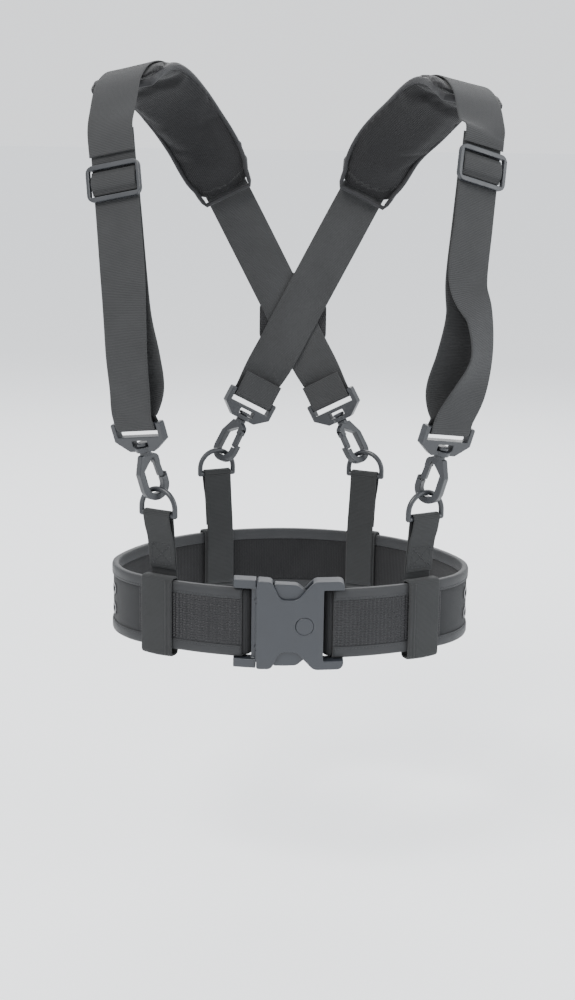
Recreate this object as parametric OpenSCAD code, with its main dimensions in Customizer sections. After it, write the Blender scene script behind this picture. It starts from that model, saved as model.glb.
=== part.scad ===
// Duty tool belt with a four-point padded harness, in millimetres.
// The frame's origin is the centre of the waist opening at the belt's mid height: +X to the wearer's
// left as seen from the front, +Y to the back, +Z up. The buckle faces -Y.

/* [Belt] */
// Half of the belt's width across the hips, to the middle of its thickness
waist_half_width = 148; // [140:1:156]
// Half of the belt's depth from front to back, to the middle of its thickness
waist_half_depth = 105; // [100:1:110]
// Radius of the belt where it turns round each hip
hip_r = 60; // [56:1:64]
// Height of the belt band over its bound edges
belt_h = 57; // [50:1:60]
// Thickness of the stiffened core
core_t = 3; // [2.4:0.1:3.4]
// Height of the edge binding as it shows on the outer face
binding_h = 9; // [7:0.5:11]

/* [Buckle] */
// Height of the buckle over its edges
buckle_h = 73; // [70:1:76]
// Thickness of the buckle from front face to back face
buckle_t = 16; // [15:0.5:17]
// Wall of the socket
socket_wall = 2.5; // [2:0.1:3]
// Diameter of the lock button
button_d = 14; // [12:0.5:15]
// How far the lock button travels in
button_travel = 2; // [1:0.5:2.5]

/* [Webbing] */
// Width of the harness webbing
strap_w = 38; // [36:1:40]
// Thickness of the harness webbing
strap_t = 1.5; // [1.2:0.1:1.8]
// Width of the webbing that holds each ring
riser_w = 25; // [20:1:26]
// Width of each belt keeper along the belt
keeper_w = 29; // [24:1:30]
// Width of a shoulder pad
pad_w = 68; // [60:1:72]
// Thickness of a shoulder pad
pad_t = 9; // [7:0.5:11]

/* [Hardware] */
// Diameter of the ring's rod
ring_rod_d = 4.4; // [3.6:0.2:4.6]
// Width inside the ring
ring_inner_w = 27.6; // [26.6:0.2:28]
// Width of a swivel frame over its lugs
frame_w = 49; // [48:0.5:50]
// Width of a webbing slider
slider_w = 46; // [45:0.5:48]
// Height of a webbing slider along the strap
slider_h = 29; // [27:0.5:31]

/* [Hidden] */
$fn = 48;
half_h = belt_h / 2;
clear = 0.3;
ENDS = ["front", "rear"];
SIDES = ["left", "right"];

// Plan of the belt: a front arc about the opening axis at the back, two hip arcs and a back arc.
opening_y = waist_half_depth + 3.5;
front_r = opening_y + waist_half_depth;
hip_x = waist_half_width - hip_r;
front_end = asin(hip_x / (front_r - hip_r));
hip_y = opening_y - (front_r - hip_r) * cos(front_end);
back_gap = hip_y - waist_half_depth;
back_r = (hip_r^2 - hip_x^2 - back_gap^2) / (2 * (back_gap + hip_r));
back_y = waist_half_depth - back_r;
hip_end = atan2(hip_y - back_y, hip_x);
back_stop = 89.95;

// Layers through the belt, as distances out from the middle of the core.
core_out = core_t / 2;
panel_t = 1.2;
lining_t = 1;
binding_t = 0.9;
inner_face = -core_out - lining_t - binding_t;
outer_face = core_out + panel_t;

// Places along the front arc, as lengths from the middle of the front.
socket_start = -27;
socket_end = 43;
socket_bar = [34.5, 41];
tongue_end = -45.6;
tongue_bar = [-45, -39];
button_s = 11;
belt_start_right = socket_bar[0] - 0.3;
belt_start_left = -tongue_bar[1] - 0.3;
prong_pivot = [-25.5, 19.5];
prong_root_r = 2.6;

// Stations of the keepers: angle round the arc, and the lean of the hook chain to the side and out.
function station_r(end) = end == "front" ? front_r : back_r;
function station_centre(end) = end == "front" ? opening_y : -back_y;
function station_angle(end) = end == "front" ? 30 : 25.75;
function station_lean(end) = end == "front" ? [14.5, -8.5] : [-6.4, 27.5];

// Heights of the hook chain above the middle of the belt.
ring_y = -1;
ring_bar_z = 82;
ring_rod_r = ring_rod_d / 2;
ring_half = ring_inner_w / 2 + ring_rod_r;
function chain_foot(end) = [0, ring_y, ring_bar_z + 5]
    + ring_half * [sin(station_lean(end)[1]), 0, cos(station_lean(end)[1])];

// Hook and swivel frame, in the hook's own frame: the ring's rod lies at the origin.
hook_turn = 70;
hook_t = 6.5;
hook_bar = 5.4;
hook_eye_r = 7;
hook_bend_z = hook_eye_r - ring_rod_r - 1.2;
hook_tip_z = 7.5;
gate_pivot = [7, 22.6];
gate_r = 2.4;
swivel_z = 33.5;
swivel_r = 3;
frame_slot_z = 46;
frame_bar_z = 54.6;
frame_bar_r = 2.6;
wrap_r = frame_bar_r + clear + strap_t / 2;

// ---------- points and turns ----------

function turn_x(p, a) = [p.x, p.y * cos(a) - p.z * sin(a), p.y * sin(a) + p.z * cos(a)];
function turn_y(p, a) = [p.x * cos(a) + p.z * sin(a), p.y, p.z * cos(a) - p.x * sin(a)];
function turn_z(p, a) = [p.x * cos(a) - p.y * sin(a), p.x * sin(a) + p.y * cos(a), p.z];
function flip(p, x, y) = [x ? -p.x : p.x, y ? -p.y : p.y, p.z];
function unit(v) = v / norm(v);
function arc_points(centre, r, a0, a1, n) =
    [for (i = [0:n]) centre + r * [cos(a0 + (a1 - a0) * i / n), sin(a0 + (a1 - a0) * i / n)]];

// A direction, and then a point, of a hook chain in the belt's frame.
function chain_direction(end, side, v) =
    let (lean = station_lean(end), angle = -station_angle(end))
    flip(turn_z(turn_x(turn_y(v, lean[1]), lean[0]), angle), side == "right", end == "rear");
function chain_point(end, side, p) =
    let (lean = station_lean(end), angle = -station_angle(end),
         local = turn_x(turn_y(p, lean[1]), lean[0]) + chain_foot(end),
         round_arc = turn_z(local - [0, station_r(end), 0], angle))
    flip(round_arc + [0, station_centre(end), 0], side == "right", end == "rear");

function chain_station(end, side, p, v) = [chain_point(end, side, p), chain_direction(end, side, v)];

// Rounds the corners of a closed outline: each corner is [x, y, radius].
function corner(p, c, q, n) =
    let (u = unit([p[0] - c[0], p[1] - c[1]]), v = unit([q[0] - c[0], q[1] - c[1]]),
         half = acos(max(-1, min(1, u * v))) / 2, reach = c[2] / tan(half),
         at = [c[0], c[1]], centre = at + unit(u + v) * c[2] / sin(half))
    [for (i = [0:n])
        let (f = i / n, w = unit((at + u * reach - centre) * (1 - f) + (at + v * reach - centre) * f))
        centre + w * c[2]];
function rounded(points, n = 6) =
    let (count = len(points))
    [for (i = [0:count - 1])
        each corner(points[(i + count - 1) % count], points[i], points[(i + 1) % count], n)];

// The outline of a strip of even thickness along an open path in a plane.
function across(path, i) =
    let (a = path[max(i - 1, 0)], b = path[min(i + 1, len(path) - 1)], d = unit(b - a)) [-d[1], d[0]];
function strip(path, t) = concat(
    [for (i = [0:len(path) - 1]) path[i] + across(path, i) * t / 2],
    [for (i = [len(path) - 1:-1:0]) path[i] - across(path, i) * t / 2]);

// Smooth stations between the route's own: each is [point, normal].
function blend4(a, b, c, d, f) =
    ((2 * b) + (c - a) * f + (2 * a - 5 * b + 4 * c - d) * f^2 + (3 * b - a - 3 * c + d) * f^3) / 2;
function smooth(route, n) =
    let (last = len(route) - 1)
    concat([for (i = [0:last - 1]) for (k = [0:n - 1])
        let (a = route[max(i - 1, 0)], b = route[i], c = route[i + 1], d = route[min(i + 2, last)])
        [blend4(a[0], b[0], c[0], d[0], k / n), unit(blend4(a[1], b[1], c[1], d[1], k / n))]],
        [route[last]]);

// ---------- shared shapes ----------

// Stations round the right half of the belt, from a length along the front arc to the back's middle:
// each is [centre of the arc, its radius, the angle round it].
function steps(a0, a1, n) = [for (i = [0:n]) a0 + (a1 - a0) * i / n];
function stations(start) =
    let (first = start / front_r * 180 / PI)
    concat([for (a = steps(first, front_end, 9)) [[0, opening_y], front_r, a - 90]],
           [for (a = steps(front_end - 90, hip_end, 13)) if (a > front_end - 90) [[hip_x, hip_y], hip_r, a]],
           [for (a = steps(hip_end, back_stop, 20)) if (a > hip_end) [[0, back_y], back_r, a]]);
function front_stations(start) = [for (i = [0:9]) stations(start)[i]];
function beside(station, out) = station[0] + (station[1] + out) * [cos(station[2]), sin(station[2])];

// A layer of the band between two distances out and two heights.
module band_layer(route, out, z) {
    last = len(route) - 1;
    translate([0, 0, z[0]]) linear_extrude(height = z[1] - z[0])
        polygon(concat([for (i = [0:last]) beside(route[i], out[1])],
                       [for (i = [last:-1:0]) beside(route[i], out[0])]));
}

// A profile of [distance out, height] swept round the band.
module band_edge(route, profile) {
    tube([for (station = route) [for (p = profile)
        let (at = beside(station, p[0])) [at[0], at[1], p[1]]]]);
}

// A ring about the opening axis between two distances out: the buckle's pieces are cut from it.
module front_ring(out, z) {
    translate([0, opening_y, 0]) rotate_extrude($fn = 360)
        translate([front_r + out[0], -z]) square([out[1] - out[0], 2 * z]);
}

// A block of that ring over a rectangle of the front view.
module front_block(x, out, z) {
    intersection() {
        front_ring(out, buckle_h);
        front_cut([[x[0], z[0]], [x[1], z[0]], [x[1], z[1]], [x[0], z[1]]]);
    }
}

module at_front(s) {
    translate([0, opening_y, 0]) rotate([0, 0, s / front_r * 180 / PI])
        translate([0, -front_r, 0]) children();
}

// An outline in the front view, cut through the buckle's curved thickness.
module front_cut(points) {
    rotate([90, 0, 0]) linear_extrude(height = 140) polygon(points);
}

module mirrored_if(right) {
    if (right) mirror([1, 0, 0]) children();
    else children();
}

module at_station(end, side) {
    mirror([side == "right" ? 1 : 0, 0, 0]) mirror([0, end == "rear" ? 1 : 0, 0])
        translate([0, station_centre(end), 0]) rotate([0, 0, -station_angle(end)])
            translate([0, -station_r(end), 0]) children();
}

module at_chain(end, side) {
    at_station(end, side) translate(chain_foot(end))
        rotate([station_lean(end)[0], 0, 0]) rotate([0, station_lean(end)[1], 0]) children();
}

// A ribbon of webbing swept along a route of [point, normal].
module ribbon(route, w, t) {
    last = len(route) - 1;
    rings = [for (i = [0:last])
        let (ahead = unit(route[min(i + 1, last)][0] - route[max(i - 1, 0)][0]),
             side = unit(cross(route[i][1], ahead)), out = cross(ahead, side), p = route[i][0])
        [p + side * w / 2 + out * t / 2, p - side * w / 2 + out * t / 2,
         p - side * w / 2 - out * t / 2, p + side * w / 2 - out * t / 2]];
    tube(rings);
}

// A closed tube through equal rings of points; opposite faces are split along matching diagonals.
module tube(rings) {
    n = len(rings[0]);
    last = len(rings) - 1;
    polyhedron(
        points = [for (ring = rings) each ring],
        faces = concat(
            [[for (k = [n - 1:-1:0]) k]],
            [[for (k = [0:n - 1]) last * n + k]],
            [for (i = [0:last - 1]) for (k = [0:n - 1])
                let (a = i * n + k, b = i * n + (k + 1) % n, c = a + n, d = b + n)
                each k < n / 2 ? [[a, b, c], [b, d, c]] : [[a, b, d], [a, d, c]]]));
}

// ---------- belt band ----------

function eyelet_angle() = -18;
eyelet_r = 2.5;
eyelet_barrel_r = 3.1;
eyelet_pitch = 17;

module at_eyelets(grow) {
    for (z = [-1, 1]) translate([hip_x, hip_y, z * eyelet_pitch / 2]) rotate([0, 0, eyelet_angle()])
        rotate([0, 90, 0]) translate([0, 0, hip_r + grow]) children();
}

function band(side) = stations(side == "right" ? belt_start_right : belt_start_left);
function band_front(side) = front_stations(side == "right" ? belt_start_right : belt_start_left);

// Stiffened core of the band.
module belt_core(side) {
    color("#2b2c2e") mirrored_if(side == "left") difference() {
        band_layer(band(side), [-core_out, core_out], [binding_t - half_h, half_h - binding_t]);
        at_eyelets(-10) cylinder(r = eyelet_barrel_r + 0.05, h = 20);
    }
}

// Woven panel sewn on the front of the core.
module woven_panel(side) {
    panel_half = half_h - binding_h - 0.3;
    color("#2a2b2c") mirrored_if(side == "left")
        band_layer(band_front(side), [core_out, outer_face], [-panel_half, panel_half]);
}

// Lining on the inside of the core.
module lining(side) {
    color("#1d1e1f") mirrored_if(side == "left") difference() {
        band_layer(band(side), [-core_out - lining_t, -core_out], [binding_t - half_h, half_h - binding_t]);
        at_eyelets(-10) cylinder(r = eyelet_barrel_r + 0.05, h = 20);
    }
}

// Tape folded over one edge: a channel that grips the core and the lining.
module binding(side, top) {
    foot = half_h - binding_h;
    profile = [[core_out, foot], [core_out + binding_t, foot], [core_out + binding_t, half_h],
               [inner_face, half_h], [inner_face, foot], [-core_out - lining_t, foot],
               [-core_out - lining_t, half_h - binding_t], [core_out, half_h - binding_t]];
    color("#333538") mirrored_if(side == "left") mirror([0, 0, top ? 0 : 1]) band_edge(band(side), profile);
}

// The belt's end, turned round the buckle's bar and laid back against the lining.
module end_fold(side) {
    bar = side == "right" ? socket_bar[0] : -tongue_bar[1];
    turn = [bar - 0.5, -6];
    fold_t = 3.4;
    lower = arc_points(turn, 5, 90, 270, 10);
    path = concat(lower, [[bar + 7, -11], [bar + 18, -9], [bar + 30, -6.4], [bar + 42, -5.9],
                          [bar + 54, -5.9]]);
    plan = [for (p = strip(path, fold_t))
        turn_z([0, -front_r - p[1], 0], p[0] / front_r * 180 / PI) + [0, opening_y, 0]];
    color("#2a2b2c") mirrored_if(side == "left") translate([0, 0, -half_h + 1])
        linear_extrude(height = belt_h - 2) polygon([for (p = plan) [p.x, p.y]]);
}

// Rolled eyelets: a barrel through the band with a collar outside and a washer inside.
module eyelets(side) {
    color("#4a4c50") mirrored_if(side == "left") difference() {
        at_eyelets(inner_face - 0.1) {
            cylinder(r = eyelet_barrel_r, h = core_out - inner_face + 0.9);
            translate([0, 0, -0.6]) cylinder(r = 5, h = 1);
            translate([0, 0, core_out - inner_face + 0.1]) cylinder(r = 5, h = 0.8);
        }
        at_eyelets(-20) cylinder(r = eyelet_r, h = 40);
    }
}

// ---------- buckle ----------

half_b = buckle_h / 2;
half_t = buckle_t / 2;
cavity = half_t - socket_wall;
mouth_h = 31.4;
head_h = 34;
dip_h = 21.5;

function socket_top() = [[socket_start, half_b, 2], [-15, half_b - 0.5, 5], [-8, dip_h, 6],
    [5, dip_h, 8], [19, half_b, 8], [socket_end, half_b, 5]];
function upside(points) = [for (i = [len(points) - 1:-1:0]) [points[i][0], -points[i][1], points[i][2]]];

function rectangle(x, z) = [[x[0], z[0]], [x[1], z[0]], [x[1], z[1]], [x[0], z[1]]];

// Socket: a curved moulded shell, open at its mouth and at the two thumb windows.
module buckle_socket() {
    slot_h = 29.2;
    color("#3a3d42") {
        difference() {
            intersection() {
                front_ring([-half_t, half_t], buckle_h);
                front_cut(rounded(concat(socket_top(), upside(socket_top()))));
            }
            intersection() {
                front_ring([-cavity, cavity], buckle_h);
                front_cut([[socket_start - 1, -mouth_h], [-14.2, -mouth_h], [-14.2, -half_b - 2],
                    [18, -half_b - 2], [18, -mouth_h], [22, -mouth_h], [22, mouth_h], [18, mouth_h],
                    [18, half_b + 2], [-14.2, half_b + 2], [-14.2, mouth_h], [socket_start - 1, mouth_h]]);
            }
            front_cut(rectangle([26.5, socket_end + 2], [-slot_h, slot_h]));
            at_front(button_s) rotate([90, 0, 0]) cylinder(r = button_d / 2 + 0.1, h = half_t + 1);
        }
        front_block(socket_bar, [0.4 - half_t, -4], [-slot_h - 1, slot_h + 1]);
    }
}

// Tongue: the webbing bar, two lugs, the cross bar and the middle guide.
module buckle_tongue() {
    stop = socket_start - 0.4;
    color("#34373c") difference() {
        union() {
            for (z = [-1, 1]) front_block([tongue_end, stop], [-half_t, 5],
                z > 0 ? [29.2, half_b] : [-half_b, -29.2]);
            front_block(tongue_bar, [0.4 - half_t, -4], [-30, 30]);
            front_block([-31.2, stop - 0.2], [-5.3, 1], [-30, 30]);
            front_block([stop - 0.6, -22.5], [-5.2, 4.8], [clear - mouth_h, mouth_h - clear]);
            front_block([-24, -3], [-4.4, 4.4], [-8, 8]);
        }
        for (z = [-1, 1]) at_front(prong_pivot[0]) translate([0, 0, z * prong_pivot[1]])
            rotate([90, 0, 0]) cylinder(r = prong_root_r + 0.1, h = 30, center = true);
        for (z = [-1, 1]) front_cut(rectangle([prong_pivot[0] + 0.7, -22],
            z > 0 ? [15.4, 22.4] : [-22.4, -15.4]));
    }
}

// A spring prong: an arm from its root to a head that fills the thumb window.
module prong(top) {
    outline = [[prong_pivot[0], 17.6, 0.4], [10, 19.4, 3], [16.5, 21, 2], [16.5, 24, 2], [5, 33.4, 7],
               [-13.6, head_h, 2], [-13.6, 22.6, 1], [prong_pivot[0], 21.4, 0.4]];
    color("#3f4247") mirror([0, 0, top ? 0 : 1]) {
        intersection() {
            front_block([prong_pivot[0] - 2, 18], [-cavity + clear, cavity - clear], [10, 36]);
            front_cut(rounded(outline, 5));
        }
        at_front(prong_pivot[0]) translate([0, 0, prong_pivot[1]]) rotate([90, 0, 0])
            cylinder(r = prong_root_r, h = 9, center = true);
    }
}

// Lock button: a round cap with a retaining flange behind the socket's wall.
module lock_button() {
    color("#33363b") at_front(button_s) rotate([90, 0, 0]) {
        translate([0, 0, cavity - 1.4]) cylinder(d = button_d, h = socket_wall + 1.6);
        translate([0, 0, cavity - 1.9]) cylinder(d = button_d + 2, h = 1.4);
        translate([0, 0, -0.5]) cylinder(r = 2, h = cavity - 1);
    }
}

// Conical return spring between the button and the socket's back wall.
module button_spring() {
    turns = 4;
    wire_r = 0.4;
    base = -cavity + wire_r + 0.05;
    rise = 6.2;
    centre_line = [for (i = [0:turns * 12])
        let (a = i * 30, r = 5.4 - 1.6 * i / (turns * 12)) [r * cos(a), r * sin(a), base + rise * i / (turns * 12)]];
    rings = [for (i = [0:len(centre_line) - 1])
        let (a = i * 30, p = centre_line[i])
        [for (k = [0:5]) p + wire_r * (cos(k * 60) * [cos(a), sin(a), 0] + sin(k * 60) * [0, 0, 1])]];
    color("silver") at_front(button_s) rotate([90, 0, 0]) tube(rings);
}

// ---------- keepers, rings and hooks ----------

keeper_t = 1.8;
keeper_in = [inner_face - 1.2, outer_face + 0.7];
keeper_z = [-half_h - 4.6, half_h + 0.8];

// Keeper: a sewn loop of webbing round the whole band.
module keeper(end, side) {
    r = station_r(end);
    half_angle = keeper_w / r * 90 / PI;
    profile = [[keeper_in[0], keeper_z[0]], [keeper_in[1], keeper_z[1]]];
    color("#3a3c3f") at_station(end, side) translate([0, r, 0]) rotate([0, 0, -90 - half_angle])
        rotate_extrude(angle = 2 * half_angle, $fn = 180) translate([r, 0]) difference() {
            translate(profile[0] - [keeper_t, keeper_t])
                square(profile[1] - profile[0] + 2 * [keeper_t, keeper_t]);
            translate(profile[0]) square(profile[1] - profile[0]);
        }
}

// Riser: webbing sewn inside the keeper, up over the ring's bar and back down on itself.
module riser(end, side) {
    t = 1.6;
    y = -keeper_in[0] + keeper_t + clear + t / 2 + riser_w^2 / 8 / (station_r(end) - 12);
    loop_r = ring_rod_r + 0.4 + t / 2;
    over = arc_points([ring_y, ring_bar_z], loop_r, -20, 200, 10);
    path = concat([[y, -18], [y, half_h + 2], [4.4, 60], [3, 72]], over,
                  [[-1.8, 71], [2.2, 60], [y - 2.8, half_h + 8]]);
    color("#38393b") at_station(end, side) rotate([90, 0, 90])
        linear_extrude(height = riser_w, center = true) polygon(strip(path, t));
}

// Ring: a moulded D with a straight bar for the webbing.
module ring(end, side) {
    arch_z = ring_bar_z + 5;
    color("#2e3136") at_station(end, side) translate([0, ring_y, 0]) {
        translate([0, 0, ring_bar_z]) rotate([0, 90, 0])
            cylinder(r = ring_rod_r, h = 2 * ring_half, center = true);
        for (x = [-1, 1]) translate([x * ring_half, 0, ring_bar_z]) {
            sphere(r = ring_rod_r);
            cylinder(r = ring_rod_r, h = 5);
        }
        translate([0, 0, arch_z]) rotate([90, 0, 0]) rotate_extrude(angle = 180, $fn = 96)
            translate([ring_half, 0]) circle(r = ring_rod_r);
    }
}

// Swivel frame: webbing bar between two lugs over a tapered body bored for the hook's shaft.
module swivel_frame(end, side) {
    half = frame_w / 2;
    shoulder = [[-12, swivel_z], [12, swivel_z], [half, swivel_z + 9], [half, frame_bar_z + 2],
                [half - 1, frame_bar_z + 3], [half - 4.2, frame_bar_z + 3], [half - 4.2, frame_slot_z],
                [4.2 - half, frame_slot_z], [4.2 - half, frame_bar_z + 3], [1 - half, frame_bar_z + 3],
                [-half, frame_bar_z + 2], [-half, swivel_z + 9]];
    color("#303338") at_chain(end, side) difference() {
        union() {
            rotate([90, 0, 0]) linear_extrude(height = 7, center = true) polygon(shoulder);
            translate([0, 0, swivel_z]) cylinder(r = 7, h = 9);
            translate([0, 0, frame_bar_z]) rotate([0, 90, 0])
                cylinder(r = frame_bar_r, h = frame_w - 4, center = true);
        }
        translate([0, 0, swivel_z - 1]) cylinder(r = swivel_r + 0.08, h = 7);
        translate([-7.5, -10, swivel_z + 4]) cube([15, 20, 5.4]);
    }
}

// Snap hook: shaft with its retaining head, spine, bend and tip.
module snap_hook(end, side) {
    outer_r = hook_eye_r + hook_bar;
    color("#373a3f") at_chain(end, side) rotate([0, 0, hook_turn]) {
        difference() {
            union() {
                rotate([90, 0, 0]) linear_extrude(height = hook_t, center = true)
                    polygon(concat(
                        arc_points([0, hook_bend_z], outer_r, 180, 360, 20),
                        [[outer_r, hook_tip_z + 3.4], [outer_r - 1.6, hook_tip_z + 3.4],
                         [outer_r - 1.8, hook_tip_z], [hook_eye_r, hook_tip_z]],
                        arc_points([0, hook_bend_z], hook_eye_r, 360, 180, 16),
                        [[-hook_eye_r, 18], [-1.5, 22.5], [3, 25.8], [9.4, 25.8], [8.2, 28], [4.4, 30.4],
                         [-6, 30.4], [-outer_r, 17]]));
                translate([0, 0, 30]) cylinder(r = 4.6, h = 3.2);
            }
            rotate([90, 0, 0]) linear_extrude(height = 4.8, center = true)
                translate([gate_pivot[0] - 4, gate_pivot[1] - 4]) square([8, 7]);
        }
        translate([0, 0, 30]) cylinder(r = swivel_r, h = swivel_z - 30 + 4.6);
        translate([0, 0, swivel_z + 4.4]) cylinder(r = 5, h = 2.6);
        translate([gate_pivot[0], 0, gate_pivot[1]]) rotate([90, 0, 0])
            cylinder(r = 1, h = hook_t, center = true);
        for (y = [-1, 1]) translate([0, y * (hook_t / 2 - 0.4), 0]) rotate([90, 0, 0])
            linear_extrude(height = 0.8, center = true)
                translate([gate_pivot[0] - 2.4, gate_pivot[1] - 2.4]) square([4.8, 5.6]);
    }
}

// Gate: a sprung lever on its own pin that closes the hook's mouth.
module gate(end, side) {
    tip = [7.7, hook_tip_z + gate_r + 0.4];
    color("#2c2f33") at_chain(end, side) rotate([0, 0, hook_turn]) rotate([90, 0, 0]) difference() {
        linear_extrude(height = 4.2, center = true)
            polygon(concat(arc_points(gate_pivot, gate_r, 4, 184, 12), arc_points(tip, gate_r, 184, 364, 12)));
        translate([gate_pivot[0], gate_pivot[1], 0]) cylinder(r = 1.06, h = 10, center = true);
    }
}

// ---------- harness ----------

// The adjustable stretch runs straight past the slider: a point on it, its direction and its normal.
slide_foot = [-140, -68, 344];
slide_up = unit([-11.5, 34.6, 110]);
function strap_faces(side) = side == "left" ? [-0.36, -0.88, 0.3] : [-0.55, -0.78, 0.3];
function strap_out(side) = unit(cross(cross(slide_up, strap_faces(side)), slide_up));
layer = strap_t / 2 + clear / 2 + 0.2;
bar_t = 4;
bar_back = 2 * layer;
function slider_z(side) = side == "left" ? 344 : 358;
function on_slide(z) = slide_foot + slide_up * (z - slide_foot.z) / slide_up.z;
function stretch(z, out, side) = [on_slide(z) + strap_out(side) * out, strap_out(side)];

// Stations round a swivel frame's bar, from its outer side to its inner side.
function wrap(end, side, angles) =
    [for (a = angles)
        [chain_point(end, side, [0, -wrap_r * cos(a), frame_bar_z + wrap_r * sin(a)]),
         chain_direction(end, side, [0, -cos(a), sin(a)])]];

// The wearer's left shoulder sits a little lower than the right one.
shoulder_drop = 8;
function dropped(p) = [p.x, p.y, p.z - shoulder_drop * max(0, min(1, (p.z - 385) / 20))];
function slanted(x, y) = unit([x, y, 0]);
function on_side(route, side) = side == "left" ? route
    : [for (r = route) [flip(r[0], true, false), flip(r[1], true, false)]];

// Over the shoulder, from the collarbone to the back.
SHOULDER = [[[-144, -45, 399], [-0.3, -0.72, 0.62]], [[-141.5, -20, 421], [-0.26, -0.35, 0.9]],
            [[-134, 11, 432], [-0.2, 0.05, 0.97]], [[-122, 43, 428], [-0.24, 0.42, 0.87]],
            [[-103, 73, 407], [-0.2, 0.72, 0.66]], [[-80.5, 95, 372], [-0.1, 0.88, 0.4]],
            [[-58.5, 104, 330], [0, 0.97, 0.22]]];
function shoulder(side) = [for (r = SHOULDER) [side == "right" ? dropped(r[0]) : r[0], r[1]]];
function lifted(route, out) = [for (r = route) [r[0] + unit(r[1]) * out, unit(r[1])]];
function turned(route) = [for (r = route) [r[0], -r[1]]];

// Front strap: from under the shoulder webbing straight behind the slider, down the outer run, round
// the frame's bar and back up the inner run.
function outer_run(side) =
    side == "left"
        ? [[[-131.5, -95.5, 240], slanted(-0.42, -0.91)], [[-130.5, -94, 210], slanted(-0.46, -0.89)],
           [[-128.6, -90.5, 184], slanted(-0.49, -0.87)]]
        : [[[143, -97, 246], slanted(0.8, -0.6)], [[146, -95, 216], slanted(0.84, -0.54)],
           [[138, -91, 187], slanted(0.66, -0.75)]];
function inner_run(side) =
    side == "left"
        ? [[[-119, -81, 186], slanted(-0.4, -0.92)], [[-122, -86.5, 210], slanted(-0.34, -0.94)],
           [[-128, -91, 240], slanted(-0.34, -0.94)]]
        : [[[121, -80, 186], slanted(0.42, -0.91)], [[127, -84, 214], slanted(0.5, -0.86)],
           [[131.5, -88.5, 246], slanted(0.6, -0.8)]];

module front_strap(side) {
    z = slider_z(side);
    straight = wrap_r * 3;
    down = on_side([for (h = [[382, 0], [z + 10, 0], [z - 14, 0], [316, 0], [272, 0.7]])
        stretch(h[0], layer + h[1], side)], side);
    foot = concat([chain_station("front", side, [0, -wrap_r, frame_bar_z + straight], [0, -1, 0])],
        wrap("front", side, [0, -45, -90, -135, -180]),
        [chain_station("front", side, [0, wrap_r, frame_bar_z + straight], [0, 1, 0])]);
    up = on_side([for (h = [[272, 1.2], [316, 0.5], [z - 15, 0.1], [z - 2, 0.1]])
        stretch(h[0], -layer - h[1], side)], side);
    route = concat(down, outer_run(side), foot, turned(inner_run(side)), turned(up));
    color("#3b3c3e") ribbon(smooth(route, 3), strap_w, strap_t);
}

// The strap's fold over the slider's middle bar: it moves with the slider.
module slider_fold(side) {
    z = slider_z(side);
    over = [[8.6, 1.9], [6.4, 2.5], [3.8, 4.1], [0, 4.6], [-3.8, 4.1], [-6.4, 2.5], [-8.6, 1.9]];
    route = on_side([for (p = over) stretch(z + p[0], layer + p[1], side)], side);
    color("#3b3c3e") ribbon(smooth(route, 3), strap_w, strap_t);
}

// Slider: a three-bar glide on the front strap.
module slider(side) {
    out = strap_out(side);
    sideways = cross(out, slide_up);
    at = on_slide(slider_z(side)) + out * bar_back;
    m = [for (i = [0:2]) [-sideways[i], slide_up[i], out[i], at[i]]];
    w = slider_w / 2;
    h = slider_h / 2;
    outline = [[-w, -h, 6], [w, -h, 6], [w, h, 6], [-w, h, 6]];
    color("#303237") mirrored_if(side == "right") multmatrix(concat(m, [[0, 0, 0, 1]])) difference() {
        linear_extrude(height = bar_t) polygon(rounded(outline));
        for (y = [-1, 1]) translate([0, y * 6.4, bar_t / 2]) cube([40, 8.4, 8], center = true);
        translate([0, 0, bar_t + 2.2]) cube([40, 12, 8], center = true);
    }
}

// Shoulder webbing: over one shoulder, across the back and down to the other side's rear hook.
cross_z = 218;
cross_y = 108;
cross_out = 1.3;
function back_line(z, out) =
    [[-(z - cross_z) * tan(station_lean("rear")[1]), cross_y + out - 0.12 * max(0, cross_z - z), z],
     unit([0, 1, z < cross_z ? -0.12 : z > cross_z ? 0 : -0.06])];
function shoulder_route(side) =
    let (out = side == "left" ? cross_out : -cross_out, far = side == "left" ? "right" : "left",
         end_z = slider_z(side) + slider_h / 2 + (side == "left" ? 6 : 2),
         over = concat([stretch(end_z, 3 * layer + clear, side), stretch(384, 3 * layer + clear, side)],
                       lifted(shoulder(side), layer + clear),
                       [for (z = [285, 250, cross_z, 190]) back_line(z, out)]))
    concat(on_side(over, side),
           [chain_station("rear", far, [0, -wrap_r, frame_bar_z + 10], [0, -1, 0])],
           wrap("rear", far, [0, -45, -90, -135, -180]),
           [for (up = [9, 20]) chain_station("rear", far, [0, wrap_r - 0.3, frame_bar_z + up], [0, 1, 0])]);

module shoulder_webbing(side) {
    color("#3f4042") ribbon(smooth(shoulder_route(side), 3), strap_w + 1, strap_t);
}

// Pad: a padded sleeve under the webbing, from the collarbone over the shoulder to the back.
module shoulder_pad(side) {
    over = smooth([for (i = [1:len(SHOULDER) - 1]) shoulder(side)[i]], 4);
    last = len(over) - 1;
    rings = [for (i = [0:last])
        let (ahead = unit(over[min(i + 1, last)][0] - over[max(i - 1, 0)][0]),
             side_on = unit(cross(over[i][1], ahead)), out = cross(ahead, side_on),
             end_on = min(1, 0.6 + 0.2 * min(i, last - i)),
             middle = over[i][0] - out * (strap_t / 2 + clear + pad_t / 2))
        [for (k = [0:11])
            let (a = k * 30, c = cos(a), s = sin(a))
            middle + side_on * pad_w / 2 * end_on * sign(c) * sqrt(abs(c))
                   + out * pad_t / 2 * sign(s) * sqrt(abs(s)) * (i == 0 || i == last ? 0.5 : 1)]];
    color("#1f2021") mirrored_if(side == "right") tube(rings);
}

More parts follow.
